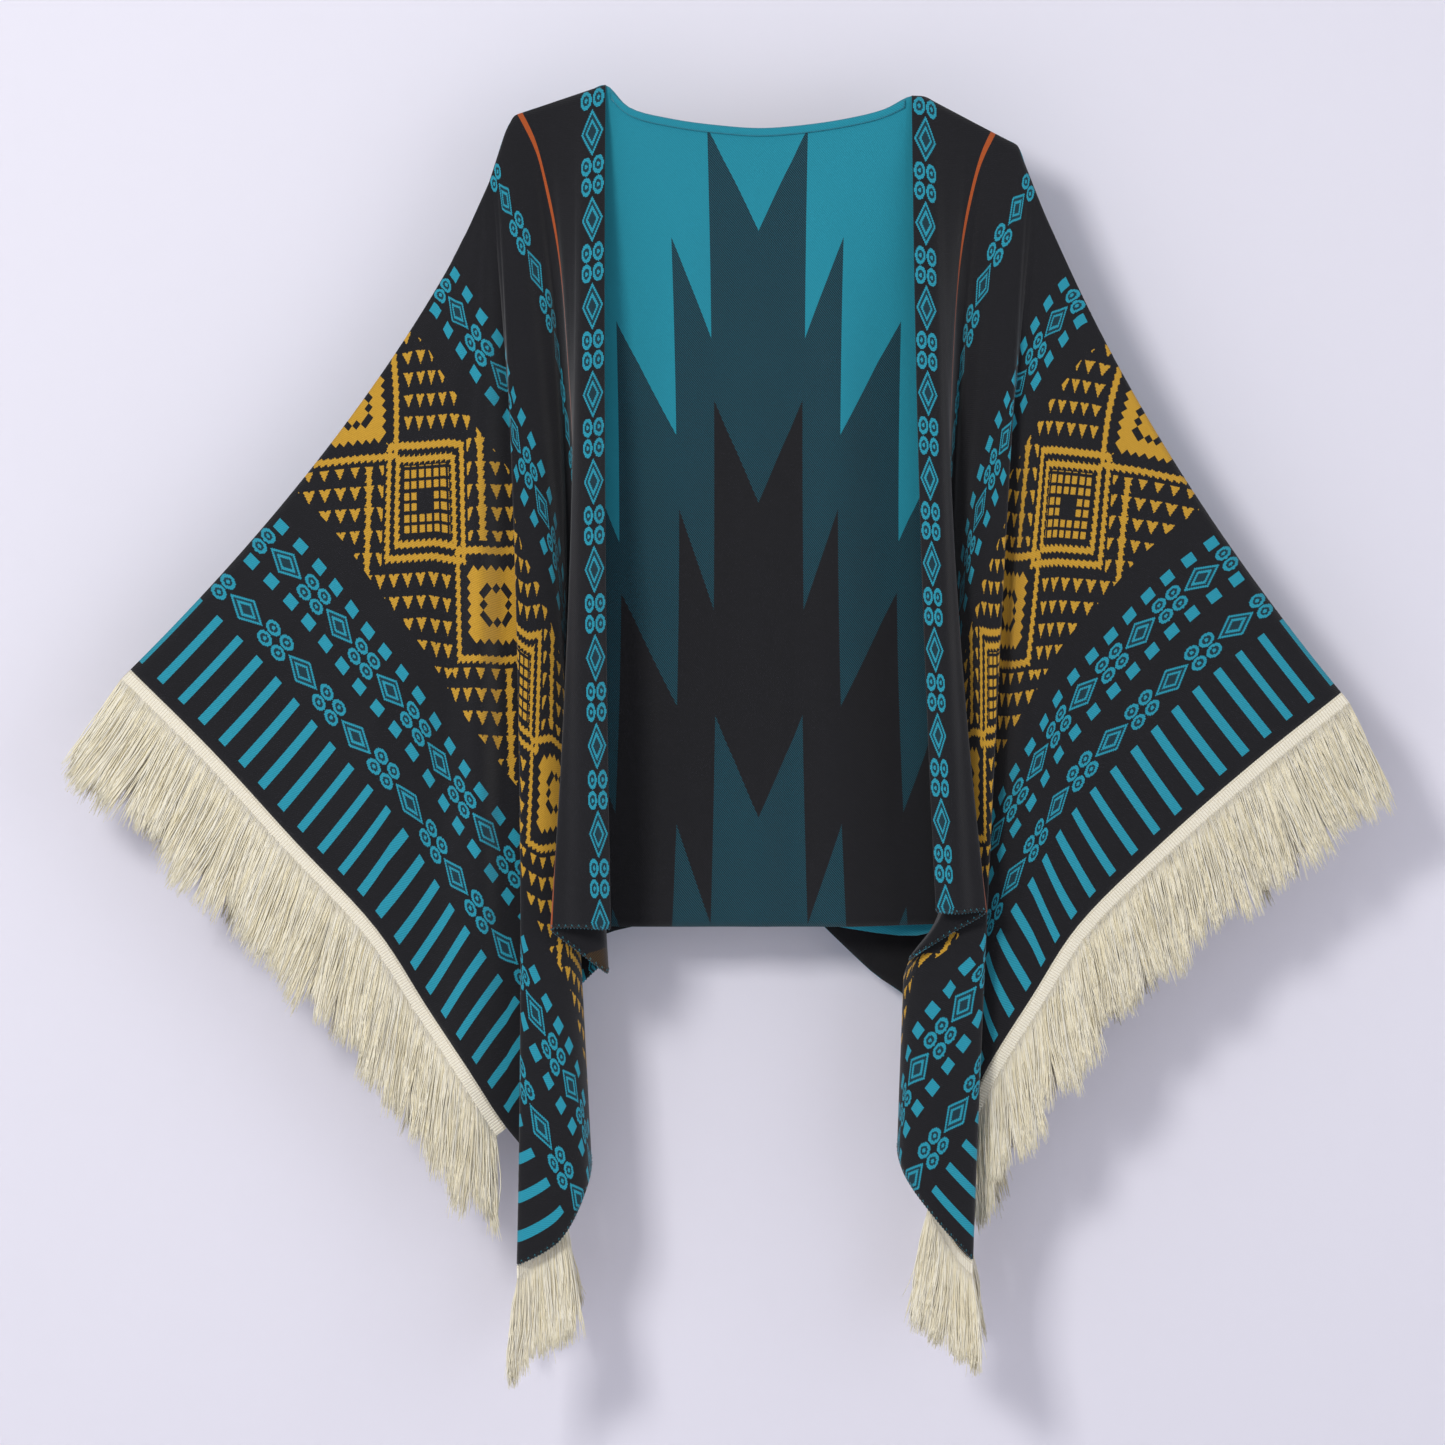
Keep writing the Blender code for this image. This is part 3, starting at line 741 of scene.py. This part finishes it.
def outsideBack():                             # bands as on the fronts, and stepped flames
    paint = Paint("outside_back", 0.86, sheen=0.25)
    aFine, bFine = paint.clothPlace()
    a = abs(paint.snap(aFine, weave["stitch"]) + weave["stitch"] / 2)
    b = paint.snap(bFine, weave["stitch"]) + weave["stitch"] / 2
    third = weave["repeat"] / 3
    outer = a - cut["halfNeck"]
    chains, inside = chainMask(paint, paint.nearest(outer, flames["chains"]), b)
    fromBand = abs(outer - flames["band"])
    blocks = (paint.within(fromBand, weave["blockFrom"], weave["blockTo"])
              * (abs(b % third - third / 2) < weave["blockLength"] / 2))
    stripes = (paint.within(outer, *weave["stripes"])
               * (abs((b + third / 2) % third - third / 2) < weave["stripeWidth"] / 2))
    flame = paint.snap(abs(a % flames["pitch"] - flames["pitch"] / 2), flames["step"])
    row = (b + flame * flames["steep"]) % flames["repeat"]
    body = outer < flames["reach"]
    tealFlame, rustFlame, greyFlame, goldFlame = [
        paint.within(row, *flames[hue]) * body for hue in ("teal", "rust", "grey", "gold")]
    dash = abs((aFine * 0.5 + bFine) % 1.8 - 0.9)
    fuzz = paint.grain(900.0)
    tint = (dash < 0.22) * 0.45 + fuzz * 0.25
    colour = paint.blend(fuzz, colours["black"], colours["blackLit"])
    colour = paint.blend(inside * 0.28, colour, colours["tealDeep"])
    tealYarn = paint.blend(tint, colours["teal"], colours["tealDeep"])
    goldYarn = paint.blend(tint, colours["gold"], colours["goldDeep"])
    colour = paint.blend(chains | blocks | stripes | tealFlame, colour, tealYarn)
    colour = paint.blend(rustFlame, colour, colours["rust"])
    colour = paint.blend(greyFlame, colour, colours["grey"])
    colour = paint.blend(goldFlame, colour, goldYarn)
    return paint.finish(colour, dash * 0.6 + fuzz * 0.6, 0.45, 0.0005)


def insideFront():                             # the plain reverse, with short floats
    paint = Paint("inside_front", 0.88, sheen=0.2)
    a, b = paint.clothPlace()
    dash = abs((a * 0.6 - b) % 2.2 - 1.1)
    patches = paint.grain(14.0)
    fuzz = paint.grain(900.0)
    colour = paint.blend(fuzz, colours["black"], colours["blackLit"])
    colour = paint.blend((dash < 0.3) * (patches > 0.52) * 0.5, colour, colours["goldDeep"])
    return paint.finish(colour, dash * 0.5 + fuzz * 0.6, 0.4, 0.0005)


def ribbedTape():
    paint = Paint("ribbed_tape", 0.7, sheen=0.3)
    run, up = paint.clothPlace()
    rib = abs(run % tape["rib"] - tape["rib"] / 2) / tape["rib"] * 2
    seam = abs(up - 1.6) < 0.35
    fuzz = paint.grain(700.0)
    colour = paint.blend(fuzz * 0.6, colours["cream"], colours["creamDeep"])
    # painted shade: the grooves between the ribs are darkened towards deep gold; the line along the
    # seam is darkened as well
    colour = paint.blend((rib < 0.16) * 0.45 | seam * 0.35, colour, colours["goldDeep"])
    return paint.finish(colour, rib + fuzz * 0.3, 0.6, 0.0008)


def looseYarn():
    paint = Paint("fringe_yarn", 0.78, sheen=0.35)
    tint = paint.node("ShaderNodeAttribute", {"attribute_name": "tint"}, {})
    fuzz = paint.grain(1100.0)
    colour = paint.blend(Value(paint, tint.outputs["Fac"]) * 0.6 + fuzz * 0.25,
                         colours["cream"], colours["creamDeep"])
    return paint.finish(colour, fuzz, 0.3, 0.0004)


def sewingThread(name, code):
    paint = Paint(name, 0.6, sheen=0.2)
    fuzz = paint.grain(1500.0)
    light = shade(code)
    dark = tuple(0.5 * part for part in light[:3]) + (1.0,)
    return paint.finish(paint.blend(fuzz, light, dark), fuzz, 0.3, 0.0003)


# Fringe
tape = {
    "width": 12.0,
    "wall": 1.6,
    "rib": 2.3,
    "ripple": 0.22,
}
fringe = {
    "seed": 7,
    "length": 90.0,
    "yarn": 0.55,                              # radius
    "inFront": 5.4,                            # yarns in a millimetre of seam
    "behind": 3.2,
    "steps": 7,
    "clump": 23.0,                             # from one clump's middle to the next
    "lock": 5.5,
    "clumpPull": 0.26,                         # how far a tip is drawn to its clump's
    "lockPull": 0.42,
    "turn": 5.0,                               # degrees that clumps lean out of line
    "spread": 1.6,
    "crimp": 0.55,
    "apart": 3.0,                              # degrees forward or backward
}
Seam = namedtuple("Seam", "start end gap hangs")
wingSeam = Seam(850.0, cut["run"] + cut["drop"], 0.3, False)
tailSeam = Seam(cut["run"], 750.0, 1.6, True)
leans = {"left": (3.0, 33.0), "right": (3.0, 25.0), "tail": (7.0, -12.0)}


def seamLine(folds, seam, spacing):
    cuts = 6
    ends = across([foldPoint(*fold, 1.0) for fold in folds], cuts)
    above = across([foldPoint(*fold, 0.97) for fold in folds], cuts)
    first = cuts * min(i for i, fold in enumerate(folds) if fold[0].edge >= seam.start)
    last = cuts * max(i for i, fold in enumerate(folds) if fold[0].edge <= seam.end)
    runs, outwards = [0.0], []
    for index in range(first, last + 1):
        tangent = (ends[min(index + 1, last)] - ends[index - 1]).normalized()
        outward = ends[index] - above[index]
        outwards.append((outward - outward.dot(tangent) * tangent).normalized())
        if index > first:
            runs.append(runs[-1] + (ends[index] - ends[index - 1]).length)
    cells = max(8, round(runs[-1] / spacing))
    line = []
    for cell in range(cells + 1):
        run = runs[-1] * cell / cells
        place = max(i for i in range(len(runs) - 1) if runs[i] <= run + 1e-9)
        part = (run - runs[place]) / (runs[place + 1] - runs[place])
        point = ends[first + place].lerp(ends[first + place + 1], part)
        outward = outwards[place].lerp(outwards[place + 1], part).normalized()
        if seam.hangs:
            outward = Vector((0, 0, -1))
        line.append((point + outward * seam.gap, outward, run))
    return line


def makeTape(name, folds, seam, paint):
    line = seamLine(folds, seam, tape["rib"] / 2)
    rows, flatRows = [], []
    for step in range(5):
        part = step / 4
        row, flat = [], []
        for index, (point, outward, run) in enumerate(line):
            ripple = tape["ripple"] * (1 if index % 2 else -1) * (1 if 0 < part < 1 else 0)
            place = point + outward * tape["width"] * part
            row.append(place - Vector((0, ripple, 0)))
            flat.append((run * mm, tape["width"] * part * mm))
        rows.append(row)
        flatRows.append(flat)
    piece = addPiece(name, sheetMesh(name, rows, flatRows, False), [paint])
    thicken(piece, tape["wall"])
    return piece


def threadProfile(sides):                      # the section of a thread, one millimetre in radius
    curve = bpy.data.curves.new("thread_section", "CURVE")
    line = curve.splines.new("POLY")
    line.points.add(sides - 1)
    for index, point in enumerate(line.points):
        angle = math.tau * index / sides
        point.co = (mm * math.cos(angle), mm * math.sin(angle), 0, 1)
    line.use_cyclic_u = True
    section = bpy.data.objects.new("thread_section", curve)
    bpy.context.scene.collection.objects.link(section)
    return section


def threadMesh(name, threads, radius, sides):  # each thread: points, thickness along it, tint
    section = threadProfile(sides)
    curve = bpy.data.curves.new(name, "CURVE")
    curve.dimensions = "3D"
    curve.bevel_mode = "OBJECT"
    curve.bevel_object = section
    curve.use_fill_caps = True
    for points, thick, tint in threads:
        line = curve.splines.new("POLY")
        line.points.add(len(points) - 1)
        line.points.foreach_set("co", [n for p in points for n in (*(p * mm), 1.0)])
        line.points.foreach_set("radius", [radius * t for t in thick])
    holder = bpy.data.objects.new(name, curve)
    bpy.context.scene.collection.objects.link(holder)
    ready = holder.evaluated_get(bpy.context.evaluated_depsgraph_get())
    mesh = bpy.data.meshes.new_from_object(ready)
    for thing in (holder, section):
        bpy.data.objects.remove(thing, do_unlink=True)
    shape = bmesh.new()
    shape.from_mesh(mesh)
    bmesh.ops.remove_doubles(shape, verts=shape.verts[:], dist=1e-7)
    for face in shape.faces:
        face.smooth = True
    shape.to_mesh(mesh)
    shape.free()
    return mesh


def locksAlong(chance, total, pitch, drift, turn):     # place, lean, length and forward lean
    locks, run = [], -pitch
    while run < total + pitch:
        locks.append((run + chance.uniform(-drift, drift), chance.uniform(-turn, turn),
                      chance.uniform(0.86, 1.08), chance.uniform(-4, 4)))
        run += pitch * chance.uniform(0.6, 1.45)
    return locks


def makeYarns(name, folds, seam, right, behind, paint):
    chance = random.Random(fringe["seed"] + 2 * right + behind + 4 * seam.hangs)
    line = seamLine(folds, seam, 2.0)
    total = line[-1][2]
    wide = locksAlong(chance, total, fringe["clump"], 3.0, fringe["turn"])
    fine = locksAlong(chance, total, fringe["lock"], 1.0, fringe["turn"] * 0.6)
    leanEnds = leans["tail"] if seam.hangs else leans["right" if right else "left"]
    side = 1 if right else -1
    forward = -fringe["apart"] if behind else fringe["apart"]

    def place(run):
        at = min(total, max(0.0, run)) / total * (len(line) - 1)
        index = min(int(at), len(line) - 2)
        point = line[index][0].lerp(line[index + 1][0], at - index)
        outward = line[index][1].lerp(line[index + 1][1], at - index)
        return point + outward * (tape["width"] - 1.5)

    def hang(run, lean, forth):
        angle = math.radians(leanEnds[0] + (leanEnds[1] - leanEnds[0]) * run / total + lean)
        return Vector((side * math.sin(angle), -math.tan(math.radians(forth)),
                       -math.cos(angle))).normalized()

    yarns = []
    steps = fringe["steps"]
    thick = [1.0] * (steps - 1) + [0.8, 0.25]
    count = int(total * fringe["behind" if behind else "inFront"] * (2.4 if seam.hangs else 1.0))
    for index in range(count):
        run = total * (index + chance.uniform(-0.5, 0.5)) / count
        root = place(run) + Vector((0, chance.uniform(-0.9, 0.9), 0))
        clump = min(wide, key=lambda lock: abs(lock[0] - run))
        lock = min(fine, key=lambda each: abs(each[0] - run))
        spread = chance.gauss(0, fringe["spread"])
        length = fringe["length"] * clump[2] * (0.5 + 0.5 * lock[2]) * chance.uniform(0.88, 1.05)
        lean = clump[1] * 0.8 + lock[1] * 0.5 + spread
        tip = root + hang(run, lean, forward + clump[3] * 0.4) * length
        for group, pull in ((clump, fringe["clumpPull"]), (lock, fringe["lockPull"])):
            shared = place(group[0]) + hang(group[0], lean, forward + group[3] * 0.3) * length
            tip = tip.lerp(shared, pull)
        start = hang(run, 0.0, forward)
        bow = Vector((chance.gauss(0, 1.6), chance.gauss(0, 1.3), 0))
        wave, pace = chance.uniform(0, math.tau), chance.uniform(9, 16)
        points = []
        for step in range(steps + 1):
            part = step / steps
            point = (root + start * length * part).lerp(root.lerp(tip, part), part ** 0.8)
            point += bow * math.sin(math.pi * part)
            crimp = fringe["crimp"] * min(1.0, 2 * part)
            point.x += crimp * math.sin(wave + pace * part)
            point.y += crimp * math.cos(wave * 1.7 + pace * 0.8 * part)
            points.append(point)
        yarns.append((points, thick, chance.random()))
    mesh = threadMesh(name, yarns, fringe["yarn"], 3)
    tint = mesh.attributes.new("tint", "FLOAT", "POINT")
    perYarn = len(mesh.vertices) / len(yarns)
    tint.data.foreach_set("value", [yarns[min(len(yarns) - 1, int(i / perYarn))][2]
                                    for i in range(len(mesh.vertices))])
    return addPiece(name, mesh, [paint])


# Materials, in the order that they are used
jacquardPaint, reversePaint = jacquard(), insideFront()
innerPaint, outerPaint, hemPaint = insideBack(), outsideBack(), turnedHem()
tapePaint, yarnPaint = ribbedTape(), looseYarn()
tealThread, blackThread = sewingThread("teal_thread", "2A9DB2"), sewingThread("black_thread", "101014")
print("materials made")


def makeFront(side):
    right = side == "right"
    folds = frontFolds(right)
    creases = rightCreases if right else leftCreases
    rows, flatRows = panelPoints(folds, cut["frontCuts"], creases, False)
    name = f"{side}_front_cloth"
    piece = addPiece(name, sheetMesh(name, rows, flatRows, right),
                     [jacquardPaint, reversePaint])
    thicken(piece, cut["wall"], inner=1)
    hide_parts(f"front_panel_{side}")
    return piece, rows


def makeBack():
    rows, flatRows = panelPoints(backFolds(), cut["backCuts"], backCreases, True)
    piece = addPiece("back_cloth", sheetMesh("back_cloth", rows, flatRows, False),
                     [outerPaint, innerPaint])
    thicken(piece, cut["wall"], inner=1)
    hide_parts("back_panel")
    return piece, rows


# Sewing
sewing = {
    "neckHem": 7.0,
    "neckWall": 1.2,
    "thread": 0.42,
    "stitch": 3.0,
    "reach": 2.6,                              # of the overlock, up from the hem
    "under": 0.5,
    "proud": 0.25,
}


def makeNeckHem():
    own = [fold for fold in backFolds() if fold[0].shoulder <= 0]
    lift = cut["wall"] / 2 + 0.35 + sewing["neckWall"] / 2
    rows, flatRows = [], []
    for step in range(6):
        part = step / 5
        drop = 0.5 + (sewing["neckHem"] - 0.5) * part
        line = across([foldPoint(*fold, drop / cut["drop"]) for fold in own], 8)[2:-2]
        swell = 0.5 * math.sin(math.pi * part)
        rows.append([point - Vector((0, lift + swell, 0)) for point in line])
        flatRows.append([(point.x * mm, (60 + drop) * mm) for point in line])
    piece = addPiece("neck_hem_fold", sheetMesh("neck_hem_fold", rows, flatRows, False),
                     [hemPaint])
    thicken(piece, sewing["neckWall"])
    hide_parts("neck_hem")
    return piece


def hemStitches(rows, fromColumn, toColumn):   # overlock: over the hem, under it and back
    edge, above = rows[-1], rows[-3]
    half = cut["wall"] / 2 + sewing["proud"]
    points = []
    carry = 0.0
    for index in range(fromColumn, toColumn):
        step = (edge[index + 1] - edge[index]).length
        while carry < step:
            base = edge[index].lerp(edge[index + 1], carry / step)
            up = (above[index] - edge[index]).normalized()
            out = (edge[index + 1] - edge[index]).normalized().cross(up).normalized()
            face = (1, 0, -1, 0)[len(points) % 4]
            reach = sewing["reach"] if face else -sewing["under"]
            points.append(base + up * reach + out * half * face)
            carry += sewing["stitch"] / 2
        carry -= step
    return [(points, [1.0] * len(points), 0.5)]


leftFront, leftRows = makeFront("left")
rightFront, rightRows = makeFront("right")
back, backRows = makeBack()
neckHem = makeNeckHem()
print("cloth made")

pieces = {}
for right, side in ((False, "left"), (True, "right")):
    for behind, layer in ((False, "front"), (True, "back")):
        folds = backSide(right) if behind else frontFolds(right)
        for kind, seam in (("fringe", wingSeam), ("tassel", tailSeam)):
            node = f"{kind}_{side}_{layer}"
            band = makeTape(f"{node}_tape", folds, seam, tapePaint)
            yarns = makeYarns(f"{node}_yarn", folds, seam, right, behind, yarnPaint)
            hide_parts(node)
            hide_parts(node)
            owner = "back" if behind else side
            pieces.setdefault(owner, []).extend([band, yarns])
print("fringe made")

for side, rows, folds in (("left", leftRows, frontLeftFolds),
                          ("right", rightRows, frontRightFolds)):
    corner = cut["frontCuts"] * max(i for i, fold in enumerate(folds) if fold.edge <= cut["run"])
    for first, hue, thread in ((0, "teal", tealThread), (2, "black", blackThread)):
        mesh = threadMesh(f"{side}_hem_stitches_{hue}", hemStitches(rows, first, corner),
                          sewing["thread"], 4)
        pieces[side].append(addPiece(f"{side}_hem_stitches_{hue}", mesh, [thread]))
print("sewing made")

pieces["back"] + [neckHem]

# Room, lights and camera
room = {
    "wallY": 0.094,
    "floorZ": -1.42,
    "size": 7.0,
    "viewWidth": 1.199,
    "viewX": -0.030,
    "viewZ": -0.525,
    "distance": 6.0,
    "sensor": 36.0,
}


def wallPaint():
    paint = Paint("studio_wall", 0.9)
    soft = paint.grain(0.8)
    colour = paint.blend(soft * 0.2, colours["wall"], shade("D9D6DE"))
    paint.finish(colour)
    facing = paint.node("ShaderNodeNewGeometry", {}, {})
    clear = paint.node("ShaderNodeBsdfTransparent", {}, {})
    mix = paint.node("ShaderNodeMixShader", {}, {0: Value(paint, facing.outputs["Backfacing"]),
                                                 1: Value(paint, paint.shader.outputs[0]),
                                                 2: Value(paint, clear.outputs[0])})
    output = paint.tree.nodes["Material Output"]
    paint.tree.links.new(mix.outputs[0], output.inputs["Surface"])
    return paint.material


def makeStage(name, size, turn, place, material):
    shape = bmesh.new()
    bmesh.ops.create_grid(shape, x_segments=1, y_segments=1, size=size / 2)
    mesh = bpy.data.meshes.new(name)
    shape.to_mesh(mesh)
    shape.free()
    thing = bpy.data.objects.new(name, mesh)
    thing.rotation_euler = turn
    thing.location = place
    mesh.materials.append(material)
    bpy.context.scene.collection.objects.link(thing)


floorPaint = Paint("studio_floor", 0.9)
floorPaint.finish(floorPaint.blend(floorPaint.grain(0.8) * 0.2, colours["floor"], shade("D9D6DE")))
makeStage("wall", room["size"], (math.radians(90), 0, 0), (0, room["wallY"], -0.6), wallPaint())
makeStage("floor", room["size"], (0, 0, 0), (0, 0, room["floorZ"]), floorPaint.material)


def makeLight(name, place, size, power, tint):
    lamp = bpy.data.lights.new(name, "AREA")
    lamp.size = size
    lamp.energy = power
    lamp.color = tint
    thing = bpy.data.objects.new(name, lamp)
    thing.location = place
    aim = Vector((0, 0, -0.55)) - Vector(place)
    thing.rotation_euler = aim.to_track_quat("-Z", "Y").to_euler()
    bpy.context.scene.collection.objects.link(thing)


lamps = {                                      # place, size, power and colour
    "key": ((-1.7, -3.4, 0.95), 0.9, 74, (1.0, 0.99, 0.97)),
    "fill": ((2.4, -3.0, -0.3), 2.4, 17, (0.95, 0.96, 1.0)),
    "behind": ((0.0, 3.2, 0.6), 2.5, 30, (1.0, 1.0, 1.0)),
}
for name, facts in lamps.items():
    makeLight(name, *facts)

world = bpy.data.worlds.new("studio")
world.use_nodes = True
world.node_tree.nodes["Background"].inputs[0].default_value = (0.93, 0.94, 1.0, 1.0)
world.node_tree.nodes["Background"].inputs[1].default_value = 0.5
bpy.context.scene.world = world
bpy.context.scene.view_settings.view_transform = "Standard"

lens = bpy.data.cameras.new("camera")
lens.sensor_width = room["sensor"]
lens.lens = room["sensor"] * room["distance"] / room["viewWidth"]
lens.clip_end = 50
camera = bpy.data.objects.new("camera", lens)
camera.location = (room["viewX"], -room["distance"], room["viewZ"])
camera.rotation_euler = (math.radians(90), 0, 0)
bpy.context.scene.collection.objects.link(camera)
bpy.context.scene.camera = camera
print("room ready")
